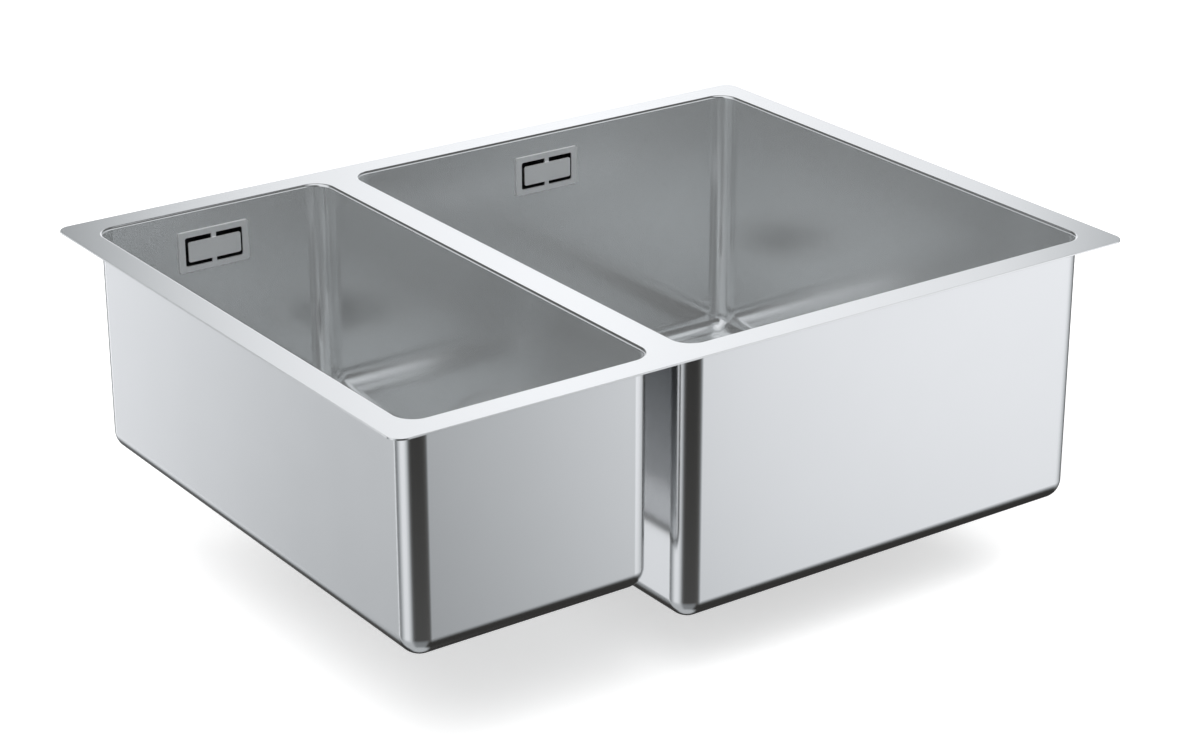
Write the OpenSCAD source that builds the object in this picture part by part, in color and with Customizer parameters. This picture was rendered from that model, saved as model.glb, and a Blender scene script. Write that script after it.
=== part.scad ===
// Undermount sink with one large and one small bowl.
// Origin: centre of the rim's top face. +X towards the large bowl's end,
// +Y towards the overflow wall, +Z up. Millimetres.

/* [Bowls] */
// Inside width of the large bowl, along X
large_w = 345; // [300:1:420]
// Inside width of the small bowl, along X
small_w = 182; // [165:1:260]
// Inside length of both bowls, along Y
bowl_d = 408; // [360:1:440]
// Inside depth of the large bowl
large_depth = 198.5; // [175:0.5:230]
// Inside depth of the small bowl
small_depth = 163; // [135:0.5:190]
// Thickness of the bowl sheet
wall_t = 1; // [0.8:0.1:1.2]
// Inside radius of the upright corners
corner_r = 14; // [12:0.5:20]
// Inside radius between wall and floor, no more than the upright corners'
floor_r = 14; // [8:0.5:14]
// Radius of the lip that curls out to the rim
lip_r = 2; // [1.6:0.1:4]

/* [Rim] */
// Thickness of the rim plate
rim_t = 1.2; // [1.2:0.1:2]
// Width of the rim round the bowls, edge to inside wall
rim_margin = 21; // [18:0.5:40]
// Width of the divider, inside wall to inside wall
divider_w = 26; // [20:0.5:40]
// Corner radius of the rim's outer edge
rim_corner_r = 10; // [4:0.5:18]

/* [Overflow] */
// Drop from the rim's top to the middle of the overflow
overflow_drop = 30.5; // [26:0.5:50]
// Width of the overflow frame
frame_w = 56.4; // [54:0.2:70]
// Height of the overflow frame
frame_h = 30.2; // [28:0.2:40]
// Thickness of the overflow frame
frame_t = 1.2; // [0.8:0.1:2]
// Width of the frame's border at its two ends
border_w = 5.1; // [4:0.1:7]
// Width of the frame's border along top and bottom
border_h = 4.3; // [3.5:0.1:6]
// Corner radius of the frame and its window
frame_corner_r = 1.5; // [0.5:0.1:3]
// Width of the slot at the two ends of the centre plate
slot_side = 2; // [1.5:0.1:4]
// Height of the slot above and below the centre plate
slot_top = 3.2; // [2.5:0.1:5]
// Thickness of the centre plate
plate_t = 1.2; // [0.8:0.1:2]
// Width of the bridges that carry the centre plate
bridge_w = 3.8; // [2.5:0.1:6]
// How far the frame laps over the cut-out in the wall
frame_lap = 2.2; // [1.5:0.1:3]
// Thickness of the foam gasket behind the wall
foam_t = 2; // [1:0.1:4]
// Width of the housing's flange round the cut-out
housing_flange = 5; // [4:0.5:9]
// Thickness of the housing's walls
housing_wall = 2; // [1.5:0.1:3]
// Space between the hose's spigot and the housing's back
housing_room = 1; // [0.5:0.1:6]
// Radius of the screw that draws cover and housing together
cover_screw_r = 2; // [1.5:0.1:2.3]

/* [Hose] */
// Radius of the hose over its ribs
hose_crest_r = 10.5; // [10:0.1:12]
// Depth of the valleys between the ribs
rib_depth = 1.5; // [0.8:0.1:2]
// Distance from rib to rib
rib_pitch = 5; // [4:0.5:8]
// Radius of the bore
hose_bore_r = 7.4; // [7:0.1:8]
// Length of the plain cuff at each end
cuff_l = 21; // [21:0.5:26]
// Space between the hose and the rear wall
hose_clear = 1; // [0.8:0.1:4]
// Wall of the spigots that the hose is pushed on
spigot_wall = 1.6; // [1.2:0.1:2]
// Length of a spigot inside the hose
spigot_l = 17; // [14:0.5:20]
// Thickness of a hose clip's band
band_t = 1; // [0.6:0.1:1]
// Width of a hose clip's band
band_w = 8; // [6:0.5:10]

/* [Waste] */
// Distance from a drain's middle to the bowl's rear wall
drain_rear = 134; // [130:1:150]
// Radius of the drain hole in the floor
drain_r = 45; // [43:0.5:50]
// Width of the seat round the drain hole
seat_w = 13.5; // [12:0.5:16]
// Depth of the pressed seat below the floor
seat_depth = 2.5; // [2:0.1:3]
// Thickness of the strainer dish
dish_t = 1; // [0.8:0.1:1.2]
// Depth inside the strainer dish
dish_depth = 24; // [20:0.5:26]
// Space round the dish in the drain hole
dish_clear = 1.5; // [1:0.1:3]
// Thickness of the gasket under the dish's flange
gasket_t = 1; // [0.8:0.1:1.2]
// Thickness of the rubber washer under the floor
washer_t = 3; // [2:0.1:4]
// Thickness of the waste body's flange
body_flange_t = 3; // [2:0.1:4]
// Space between the dish and the waste body's side
body_space = 6; // [4:0.5:8]
// Thickness of the waste body's wall
body_wall = 2.5; // [2:0.1:3]
// Height of the waste body's taper
body_taper_h = 13; // [12:0.5:20]
// Outside radius of the outlet thread
outlet_r = 23.9; // [20:0.1:26]
// Length of the outlet thread
outlet_l = 13; // [11:0.5:20]
// Wall of the outlet
outlet_wall = 3.4; // [2.5:0.1:5]
// Radius of the central clamp screw
clamp_screw_r = 3; // [2.5:0.1:4]
// Radius of the clamp screw's head
clamp_head_r = 6.5; // [5:0.1:8]
// Height of the clamp screw's head
clamp_head_h = 2.6; // [2:0.1:3.5]
// Depth that the clamp screw reaches into its boss
clamp_reach = 10; // [8:0.5:11]

/* [Basket] */
// Thickness of the basket's sheet
basket_t = 0.8; // [0.6:0.1:1]
// Width of the basket's turned rim
basket_rim_w = 2.5; // [2:0.1:4]
// Space between the basket's rim and the dish
basket_clear = 1; // [0.5:0.1:2]
// Number of slots in the basket's side
basket_slots = 16; // [8:2:24]
// Width of a slot
basket_slot_w = 3; // [2:0.1:4]
// Inside radius of the sealing ring
seal_in_r = 28; // [26:0.5:30]
// Width of the sealing ring
seal_w = 6; // [4:0.5:7]
// Radius of the lifting knob
knob_r = 11; // [8:0.5:13]
// Height of the knob's top above the bowl's floor
knob_rise = 8; // [6:0.5:9]
// Radius of the knob's stem
knob_stem_r = 4; // [3:0.1:6]

/* [Sound pads] */
// Thickness of the pads under the floors
pad_t = 2; // [1:0.1:2.5]
// Distance from the pads' edges to the bowl's inside walls
pad_margin = 30; // [25:1:40]
// Space between the pads and the pressed seat
pad_gap = 6; // [3:0.5:20]
// Corner radius of the pads
pad_corner_r = 8; // [2:0.5:12]

/* [Hidden] */
$fn = 72;

steel = "#c9cccf";
satin_steel = "#a9adaf";
black_plastic = "#26282a";
grey_plastic = "#8c8f92";
rubber = "#1c1d1f";
pad_grey = "#55585b";

// How far a cutting shape runs past the surface that it cuts
cut = 1;
// Clearance of a screw in its hole, and of a screw in its thread
hole_clear = 0.2;
thread_clear = 0.05;
// Clearance between a resting piece of a basket and the sink
run_gap = 0.3;

rim_w = small_w + large_w + divider_w + 2 * rim_margin;
rim_d = bowl_d + 2 * rim_margin;
large_x = rim_w / 2 - rim_margin - large_w / 2;
small_x = -rim_w / 2 + rim_margin + small_w / 2;
fillet_r = min(floor_r, corner_r);

// Overflow: the cut-out in the wall, the frame's window and the centre plate
cutout_w = frame_w - 2 * frame_lap;
cutout_h = frame_h - 2 * frame_lap;
window_w = frame_w - 2 * border_w;
window_h = frame_h - 2 * border_h;
plate_w = window_w - 2 * slot_side;
plate_h = window_h - 2 * slot_top;
// The plate hides the carrier by this much all round
carrier_inset = 1.5;
// The carrier reaches past the wall's outside face by this much
carrier_past = 0.5;
carrier_back = wall_t + carrier_past;
// Countersunk head: its height is what it spreads beyond the shank
cover_head_h = 1.8;
cover_head_r = cover_screw_r + cover_head_h;
cover_head_sink = 0.1;
cover_screw_l = 14;
driver_slot_w = 1;
driver_slot_depth = 0.8;
boss_wall = 2.2;
boss_r = cover_screw_r + boss_wall;
boss_gap = 0.3;
housing_plate_t = 2.5;

// Hose: it runs down behind the rear wall and forward under the floor
hose_valley_r = hose_crest_r - rib_depth;
hose_sides = 8;
hose_y = bowl_d / 2 + wall_t + hose_crest_r + hose_clear;
// A spigot fits the circle inside the bore's flat sides
spigot_clear = 0.24;
spigot_r = hose_bore_r * cos(180 / hose_sides) - spigot_clear;
spigot_bore_r = spigot_r - spigot_wall;
// Distance from the wall's inside face to the housing's back
housing_back = hose_y - bowl_d / 2 + spigot_r + housing_room + housing_wall;
hose_end_gap = 1;
hose_top_z = -overflow_drop - cutout_h / 2 - housing_flange - hose_end_gap;
bore_step = 8;
band_gap = 0.1;
clip_box_l = 10;
clip_box_h = 4;
clip_inset = 8;

// Waste: distance of the drains behind the bowls' middles, radii, then
// heights below the bowl's floor
drain_back = bowl_d / 2 - drain_rear;
seat_r = drain_r + seat_w;
flange_clear = 1.5;
flange_r = seat_r - flange_clear;
dish_r = drain_r - dish_clear;
ring_clear = 1;
ring_in_r = drain_r + ring_clear;
ring_inset = 0.5;
washer_r = seat_r - ring_inset;
flange_gasket_r = flange_r - ring_inset;
body_r = dish_r + body_space + body_wall;
outlet_bore_r = outlet_r - outlet_wall;
flange_top = -seat_depth + gasket_t + dish_t;
dish_floor = flange_top - dish_depth;
dish_under = dish_floor - dish_t;
washer_top = -seat_depth - wall_t;
body_top = washer_top - washer_t;
// The body's taper starts this far above the dish's underside
taper_lead = 0.5;
side_end = dish_under + taper_lead;
taper_end = side_end - body_taper_h;
outlet_end = taper_end - outlet_l;
branch_mid = (body_top - body_flange_t + side_end) / 2;
hose_end_clear = 1.5;
branch_start = washer_r + hose_end_clear;
hose_end_y = drain_back + branch_start;
// The bend's centre is no lower or further out than the centre of the
// bowl's fillet, so the hose keeps its clearance round the bowl's corner
hose_bend_r = max(hose_y - bowl_d / 2 + fillet_r, fillet_r - branch_mid);
clamp_boss_r = 7;
clamp_boss_base = 2;
clamp_boss_end = dish_under - clamp_reach - clamp_boss_base;
clamp_slot_w = 1.8;
clamp_slot_depth = 1.4;
spider_h = 8;
spider_t = 2.5;
spider_arms = 3;
// Rings of holes in the dish: radius of the ring, number of holes
dish_rings = [[14, 8], [21.5, 12]];
dish_hole_r = 2;

// Basket
// The seal stands higher than the clamp screw's head
head_clear = 0.9;
seal_h = clamp_head_h + head_clear;
basket_under = dish_floor + run_gap + seal_h;
basket_sink = 1;
basket_top = flange_top - basket_sink;
basket_rim_r = dish_r - dish_t - basket_clear;
basket_r = basket_rim_r - basket_rim_w;
basket_side_h = basket_top - basket_under;
basket_slot_edge = 4;
knob_pin_r = 2.5;
knob_pin_clear = 0.05;
knob_cap_h = 6;
knob_cap_step = knob_cap_h / 3;
knob_under_taper = 2;
knob_top_taper = 2.5;

module rounded_rect(w, d, r) {
    square([w - 2 * r, d], center = true);
    square([w, d - 2 * r], center = true);
    for (sx = [-1, 1]) for (sy = [-1, 1])
        translate([sx * (w / 2 - r), sy * (d / 2 - r)]) circle(r);
}

module ring(inner_r, outer_r, h) {
    difference() {
        cylinder(r = outer_r, h = h);
        translate([0, 0, -cut]) cylinder(r = inner_r, h = h + 2 * cut);
    }
}

// Upright section of the space inside a wall and a floor fillet
module hollow_section(wall, depth, fillet, top) {
    difference() {
        translate([0, -depth]) square([wall, depth + top]);
        difference() {
            translate([wall - fillet, -depth - cut]) square([fillet + cut, fillet + cut]);
            translate([wall - fillet, -depth + fillet]) circle(fillet);
        }
    }
}

// Upright section of a bowl's sheet, from the corner's axis outwards
module sheet_section(depth) {
    difference() {
        union() {
            hollow_section(corner_r + wall_t, depth + wall_t, fillet_r + wall_t, 0);
            difference() {
                translate([corner_r + wall_t / 2, -lip_r]) square([lip_r - wall_t / 2, lip_r]);
                translate([corner_r + lip_r, -lip_r]) circle(lip_r - wall_t);
            }
        }
        hollow_section(corner_r, depth, fillet_r, cut);
        difference() {
            translate([corner_r - wall_t / 2, -lip_r]) square([lip_r + wall_t / 2, lip_r + cut]);
            translate([corner_r + lip_r, -lip_r]) circle(lip_r);
        }
    }
}

module bowl_shell(w, depth) {
    axis_x = w / 2 - corner_r;
    axis_y = bowl_d / 2 - corner_r;
    difference() {
        union() {
            for (side = [0:3]) {
                out = side % 2 == 0 ? axis_x : axis_y;
                along = side % 2 == 0 ? axis_y : axis_x;
                rotate([0, 0, 90 * side]) translate([out, along, 0]) {
                    rotate_extrude(angle = 90) sheet_section(depth);
                    rotate([90, 0, 0]) linear_extrude(2 * along) sheet_section(depth);
                }
            }
            translate([-axis_x, -axis_y, -depth - wall_t]) cube([2 * axis_x, 2 * axis_y, wall_t]);
            translate([0, drain_back, -depth - seat_depth - wall_t])
                cylinder(r = seat_r + wall_t, h = seat_depth + wall_t / 2);
        }
        translate([0, drain_back, -depth - seat_depth]) cylinder(r = seat_r, h = seat_depth + cut);
        translate([0, drain_back, -depth - seat_depth - wall_t - cut])
            cylinder(r = drain_r, h = wall_t + 2 * cut);
        on_overflow() translate([0, 0, -wall_t - cut])
            linear_extrude(wall_t + 2 * cut) rounded_rect(cutout_w, cutout_h, frame_corner_r);
    }
}

// Moves to the overflow on the rear wall: local Z points into the bowl
module on_overflow() {
    translate([0, bowl_d / 2, -overflow_drop]) rotate([90, 0, 0]) children();
}

// One pad in front of the drain and a shallower one behind it
module sound_pads(w, depth) {
    pad_w = w - 2 * pad_margin;
    for (side = [-1, 1]) {
        pad_d = bowl_d / 2 - side * drain_back - pad_margin - seat_r - wall_t - pad_gap;
        translate([0, side * (bowl_d / 2 - pad_margin - pad_d / 2), -depth - wall_t - pad_t])
            linear_extrude(pad_t) rounded_rect(pad_w, pad_d, min(pad_corner_r, pad_d / 3));
    }
}

module overflow_cover() {
    on_overflow() difference() {
        union() {
            linear_extrude(frame_t) difference() {
                rounded_rect(frame_w, frame_h, frame_corner_r);
                rounded_rect(window_w, window_h, frame_corner_r);
            }
            linear_extrude(frame_t) square([bridge_w, window_h + border_h], center = true);
            translate([0, 0, -carrier_back]) linear_extrude(carrier_back + frame_t)
                rounded_rect(plate_w - 2 * carrier_inset, plate_h - 2 * carrier_inset, frame_corner_r);
        }
        translate([0, 0, -carrier_back - cut])
            cylinder(r = cover_screw_r + hole_clear, h = carrier_back + frame_t + 2 * cut);
        translate([0, 0, frame_t - cover_head_sink - cover_head_h])
            cylinder(r1 = cover_screw_r + hole_clear, r2 = cover_head_r + hole_clear, h = cover_head_h);
        translate([0, 0, frame_t - cover_head_sink])
            cylinder(r = cover_head_r + hole_clear, h = cover_head_sink + cut);
    }
}

module overflow_plate() {
    on_overflow() translate([0, 0, frame_t])
        linear_extrude(plate_t) rounded_rect(plate_w, plate_h, frame_corner_r);
}

// Slot for a screwdriver across a head whose top is at height top
module driver_slot(head_r, width, depth, top) {
    translate([-head_r - cut, -width / 2, top - depth])
        cube([2 * (head_r + cut), width, depth + cut]);
}

module overflow_screw() {
    head_top = frame_t - cover_head_sink;
    head_base = head_top - cover_head_h;
    on_overflow() difference() {
        union() {
            translate([0, 0, head_base])
                cylinder(r1 = cover_screw_r, r2 = cover_head_r, h = cover_head_h);
            translate([0, 0, -cover_screw_l])
                cylinder(r = cover_screw_r, h = cover_screw_l + head_base);
        }
        driver_slot(cover_head_r, driver_slot_w, driver_slot_depth, head_top);
    }
}

module overflow_gasket() {
    on_overflow() translate([0, 0, -wall_t - foam_t]) linear_extrude(foam_t) difference() {
        rounded_rect(cutout_w + 2 * housing_flange, cutout_h + 2 * housing_flange, housing_flange);
        rounded_rect(cutout_w, cutout_h, frame_corner_r);
    }
}

module overflow_housing() {
    spigot_top = overflow_drop + cutout_h / 2 + housing_wall / 2;
    spigot_end = -hose_top_z + spigot_l;
    difference() {
        union() {
            on_overflow() translate([0, 0, -wall_t - foam_t - housing_plate_t])
                linear_extrude(housing_plate_t)
                rounded_rect(cutout_w + 2 * housing_flange, cutout_h + 2 * housing_flange, housing_flange);
            on_overflow() translate([0, 0, -housing_back])
                linear_extrude(housing_back - wall_t - foam_t)
                rounded_rect(cutout_w + 2 * housing_wall, cutout_h + 2 * housing_wall, housing_wall);
            translate([0, hose_y, -spigot_end]) cylinder(r = spigot_r, h = spigot_end - spigot_top);
        }
        on_overflow() translate([0, 0, -housing_back + housing_wall])
            linear_extrude(housing_back) rounded_rect(cutout_w, cutout_h, frame_corner_r);
        translate([0, hose_y, -spigot_end - cut])
            cylinder(r = spigot_bore_r, h = spigot_end - spigot_top + housing_wall + 2 * cut);
    }
    on_overflow() difference() {
        translate([0, 0, -housing_back + housing_wall / 2])
            cylinder(r = boss_r, h = housing_back - housing_wall / 2 - carrier_back - boss_gap);
        translate([0, 0, -cover_screw_l - cut])
            cylinder(r = cover_screw_r + thread_clear, h = cover_screw_l + 2 * cut);
    }
}

// The hose's route: down, a quarter turn, then forward.
// Each function gives a value at a length s along the route.
function down_l(depth) = depth + hose_top_z - branch_mid - hose_bend_r;
function bend_l() = hose_bend_r * PI / 2;
function hose_l(depth) = down_l(depth) + bend_l() + hose_y - hose_bend_r - hose_end_y;
function heading(s, depth) = max(0, min(90, (s - down_l(depth)) / bend_l() * 90));
function past_bend(s, depth) = max(0, s - down_l(depth) - bend_l());
function route_y(s, depth) =
    hose_y - hose_bend_r * (1 - cos(heading(s, depth))) - past_bend(s, depth);
function route_z(s, depth) =
    hose_top_z - min(s, down_l(depth)) - hose_bend_r * sin(heading(s, depth));
function hose_ring(s, r, depth) = [
    for (k = [0:hose_sides - 1])
        let (a = 360 * (k + 0.5) / hose_sides, h = heading(s, depth))
        [r * sin(a), route_y(s, depth) + r * cos(a) * cos(h), route_z(s, depth) - r * cos(a) * sin(h)]
];
function flat(lists) = [for (list = lists) each list];
// Two triangles for each side between one ring of points and the next
function band(a, b) = flat([
    for (k = [0:hose_sides - 1])
        let (n = (k + 1) % hose_sides)
        [[a + k, a + n, b + n], [a + k, b + n, b + k]]
]);

module ribbed_hose(depth) {
    length = hose_l(depth);
    ribs = floor((length - 2 * cuff_l) / rib_pitch);
    pitch = (length - 2 * cuff_l) / ribs;
    steps = ceil(length / bore_step);
    outside = concat(
        [hose_ring(0, hose_valley_r, depth)],
        flat([for (i = [0:ribs - 1]) [
            hose_ring(cuff_l + i * pitch, hose_valley_r, depth),
            hose_ring(cuff_l + (i + 0.5) * pitch, hose_crest_r, depth)
        ]]),
        [hose_ring(length - cuff_l, hose_valley_r, depth), hose_ring(length, hose_valley_r, depth)]
    );
    inside = [for (i = [0:steps]) hose_ring(length * (1 - i / steps), hose_bore_r, depth)];
    rings = concat(outside, inside);
    last = len(rings) - 1;
    polyhedron(
        points = flat(rings),
        faces = flat([
            for (i = [0:last])
                band(i * hose_sides, (i == last ? 0 : i + 1) * hose_sides)
        ])
    );
}

// A band round the hose with its screw housing on one side
module hose_clip() {
    inner = hose_valley_r + band_gap;
    difference() {
        union() {
            cylinder(r = inner + band_t, h = band_w);
            translate([0, -clip_box_l / 2, 0])
                cube([inner + band_t + clip_box_h, clip_box_l, band_w]);
        }
        translate([0, 0, -cut]) cylinder(r = inner, h = band_w + 2 * cut);
    }
}

module hose_clips(depth) {
    translate([0, hose_y, hose_top_z - clip_inset - band_w / 2]) hose_clip();
    translate([0, hose_end_y + clip_inset - band_w / 2, branch_mid - depth])
        rotate([-90, 0, 0]) hose_clip();
}

module strainer_dish(depth) {
    translate([0, 0, -depth]) difference() {
        union() {
            translate([0, 0, flange_top - dish_t]) cylinder(r = flange_r, h = dish_t);
            translate([0, 0, dish_under]) cylinder(r = dish_r, h = flange_top - dish_under);
        }
        translate([0, 0, dish_floor]) cylinder(r = dish_r - dish_t, h = dish_depth + cut);
        translate([0, 0, dish_under - cut])
            cylinder(r = clamp_screw_r + hole_clear, h = dish_t + 2 * cut);
        for (row = dish_rings) for (i = [0:row[1] - 1])
            rotate([0, 0, 360 * i / row[1]]) translate([row[0], 0, dish_under - cut])
                cylinder(r = dish_hole_r, h = dish_t + 2 * cut);
    }
}

module flange_gasket(depth) {
    translate([0, 0, -depth - seat_depth]) ring(ring_in_r, flange_gasket_r, gasket_t);
}

module lower_washer(depth) {
    translate([0, 0, -depth + body_top]) ring(ring_in_r, washer_r, washer_t);
}

// Turned shape of the waste body, grown inwards or outwards by its wall
module body_solid(r, neck_r, extra) {
    translate([0, 0, side_end]) cylinder(r = r, h = body_top - side_end + extra);
    translate([0, 0, taper_end]) cylinder(r1 = neck_r, r2 = r, h = body_taper_h);
    translate([0, 0, outlet_end - extra]) cylinder(r = neck_r, h = outlet_l + extra);
}

module waste_body(depth) {
    translate([0, 0, -depth]) {
        difference() {
            union() {
                body_solid(body_r, outlet_r, 0);
                translate([0, 0, body_top - body_flange_t]) cylinder(r = washer_r, h = body_flange_t);
                translate([0, body_r - body_wall, branch_mid]) rotate([-90, 0, 0])
                    cylinder(r = spigot_r, h = branch_start + spigot_l - body_r + body_wall);
            }
            body_solid(body_r - body_wall, outlet_bore_r, cut);
            translate([0, body_r - 2 * body_wall, branch_mid]) rotate([-90, 0, 0])
                cylinder(r = spigot_bore_r, h = branch_start + spigot_l - body_r + 2 * body_wall + cut);
        }
        difference() {
            union() {
                translate([0, 0, clamp_boss_end])
                    cylinder(r = clamp_boss_r, h = dish_under - clamp_boss_end);
                intersection() {
                    body_solid(body_r - body_wall / 2, outlet_r - outlet_wall / 2, 0);
                    for (arm = [0:spider_arms - 1])
                        rotate([0, 0, 360 * arm / spider_arms + 90])
                            translate([0, -spider_t / 2, clamp_boss_end])
                            cube([body_r, spider_t, spider_h]);
                }
            }
            translate([0, 0, dish_under - clamp_reach - cut])
                cylinder(r = clamp_screw_r + thread_clear, h = clamp_reach + 2 * cut);
        }
    }
}

module clamp_screw(depth) {
    translate([0, 0, -depth]) difference() {
        union() {
            translate([0, 0, dish_floor]) cylinder(r = clamp_head_r, h = clamp_head_h);
            translate([0, 0, dish_under - clamp_reach])
                cylinder(r = clamp_screw_r, h = clamp_reach + dish_t);
        }
        driver_slot(clamp_head_r, clamp_slot_w, clamp_slot_depth, dish_floor + clamp_head_h);
    }
}

module basket(depth) {
    translate([0, 0, -depth]) difference() {
        union() {
            translate([0, 0, basket_under]) cylinder(r = basket_r, h = basket_side_h);
            translate([0, 0, basket_top - basket_t]) cylinder(r = basket_rim_r, h = basket_t);
        }
        translate([0, 0, basket_under + basket_t])
            cylinder(r = basket_r - basket_t, h = basket_side_h + cut);
        translate([0, 0, basket_under - cut])
            cylinder(r = knob_pin_r + knob_pin_clear, h = basket_t + 2 * cut);
        for (i = [0:basket_slots / 2 - 1])
            rotate([0, 0, 360 * (i + 0.5) / basket_slots])
                translate([-basket_rim_r, -basket_slot_w / 2, basket_under + basket_slot_edge])
                cube([2 * basket_rim_r, basket_slot_w, basket_side_h - 2 * basket_slot_edge]);
    }
}

module basket_seal(depth) {
    translate([0, 0, -depth + basket_under - seal_h])
        ring(seal_in_r, seal_in_r + seal_w, seal_h);
}

module basket_knob(depth) {
    stem_base = basket_under + basket_t;
    translate([0, 0, -depth]) {
        translate([0, 0, basket_under]) cylinder(r = knob_pin_r, h = basket_t + cut);
        translate([0, 0, stem_base])
            cylinder(r = knob_stem_r, h = knob_rise - knob_cap_step - stem_base);
        translate([0, 0, knob_rise - knob_cap_h])
            cylinder(r1 = knob_r - knob_under_taper, r2 = knob_r, h = knob_cap_step);
        translate([0, 0, knob_rise - 2 * knob_cap_step]) cylinder(r = knob_r, h = knob_cap_step);
        translate([0, 0, knob_rise - knob_cap_step])
            cylinder(r1 = knob_r, r2 = knob_r - knob_top_taper, h = knob_cap_step);
    }
}

module rim_plate() {
    color(steel) translate([0, 0, -rim_t]) linear_extrude(rim_t) difference() {
        rounded_rect(rim_w, rim_d, rim_corner_r);
        translate([large_x, 0])
            rounded_rect(large_w + 2 * lip_r, bowl_d + 2 * lip_r, corner_r + lip_r);
        translate([small_x, 0])
            rounded_rect(small_w + 2 * lip_r, bowl_d + 2 * lip_r, corner_r + lip_r);
    }
}

module at_large() {
    translate([large_x, 0, 0]) children();
}

module at_small() {
    translate([small_x, 0, 0]) children();
}

module at_large_drain() {
    translate([large_x, drain_back, 0]) children();
}

module at_small_drain() {
    translate([small_x, drain_back, 0]) children();
}

module large_bowl() { color(satin_steel) at_large() bowl_shell(large_w, large_depth); }
module small_bowl() { color(satin_steel) at_small() bowl_shell(small_w, small_depth); }
module large_sound_pads() { color(pad_grey) at_large() sound_pads(large_w, large_depth); }
module small_sound_pads() { color(pad_grey) at_small() sound_pads(small_w, small_depth); }
module large_overflow_cover() { color(steel) at_large() overflow_cover(); }
module small_overflow_cover() { color(steel) at_small() overflow_cover(); }
module large_overflow_plate() { color(steel) at_large() overflow_plate(); }
module small_overflow_plate() { color(steel) at_small() overflow_plate(); }
module large_overflow_screw() { color(steel) at_large() overflow_screw(); }
module small_overflow_screw() { color(steel) at_small() overflow_screw(); }
module large_overflow_gasket() { color(rubber) at_large() overflow_gasket(); }
module small_overflow_gasket() { color(rubber) at_small() overflow_gasket(); }
module large_overflow_housing() { color(black_plastic) at_large() overflow_housing(); }
module small_overflow_housing() { color(black_plastic) at_small() overflow_housing(); }
module large_overflow_hose() { color(grey_plastic) at_large() ribbed_hose(large_depth); }
module small_overflow_hose() { color(grey_plastic) at_small() ribbed_hose(small_depth); }
module large_hose_clips() { color(steel) at_large() hose_clips(large_depth); }
module small_hose_clips() { color(steel) at_small() hose_clips(small_depth); }
module large_strainer_dish() { color(steel) at_large_drain() strainer_dish(large_depth); }
module small_strainer_dish() { color(steel) at_small_drain() strainer_dish(small_depth); }
module large_flange_gasket() { color(rubber) at_large_drain() flange_gasket(large_depth); }
module small_flange_gasket() { color(rubber) at_small_drain() flange_gasket(small_depth); }
module large_lower_washer() { color(rubber) at_large_drain() lower_washer(large_depth); }
module small_lower_washer() { color(rubber) at_small_drain() lower_washer(small_depth); }
module large_waste_body() { color(black_plastic) at_large_drain() waste_body(large_depth); }
module small_waste_body() { color(black_plastic) at_small_drain() waste_body(small_depth); }
module large_clamp_screw() { color(steel) at_large_drain() clamp_screw(large_depth); }
module small_clamp_screw() { color(steel) at_small_drain() clamp_screw(small_depth); }
module large_basket() { color(steel) at_large_drain() basket(large_depth); }
module small_basket() { color(steel) at_small_drain() basket(small_depth); }
module large_basket_seal() { color(rubber) at_large_drain() basket_seal(large_depth); }
module small_basket_seal() { color(rubber) at_small_drain() basket_seal(small_depth); }
module large_basket_knob() { color(black_plastic) at_large_drain() basket_knob(large_depth); }
module small_basket_knob() { color(black_plastic) at_small_drain() basket_knob(small_depth); }

rim_plate();
large_bowl();
small_bowl();
large_sound_pads();
small_sound_pads();
large_overflow_cover();
small_overflow_cover();
large_overflow_plate();
small_overflow_plate();
large_overflow_screw();
small_overflow_screw();
large_overflow_gasket();
small_overflow_gasket();
large_overflow_housing();
small_overflow_housing();
large_overflow_hose();
small_overflow_hose();
large_hose_clips();
small_hose_clips();
large_strainer_dish();
small_strainer_dish();
large_flange_gasket();
small_flange_gasket();
large_lower_washer();
small_lower_washer();
large_waste_body();
small_waste_body();
large_clamp_screw();
small_clamp_screw();
large_basket();
small_basket();
large_basket_seal();
small_basket_seal();
large_basket_knob();
small_basket_knob();
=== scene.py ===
"""Undermount sink with a large and a small bowl, dressed for rendering in Blender 4.5.

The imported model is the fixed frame. Each piece below is made in its place, in metres.
"""

import math
from contextlib import contextmanager

import bmesh
import bpy
from bpy.props import FloatProperty, FloatVectorProperty, IntProperty, PointerProperty
from mathutils import Matrix, Vector


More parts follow.
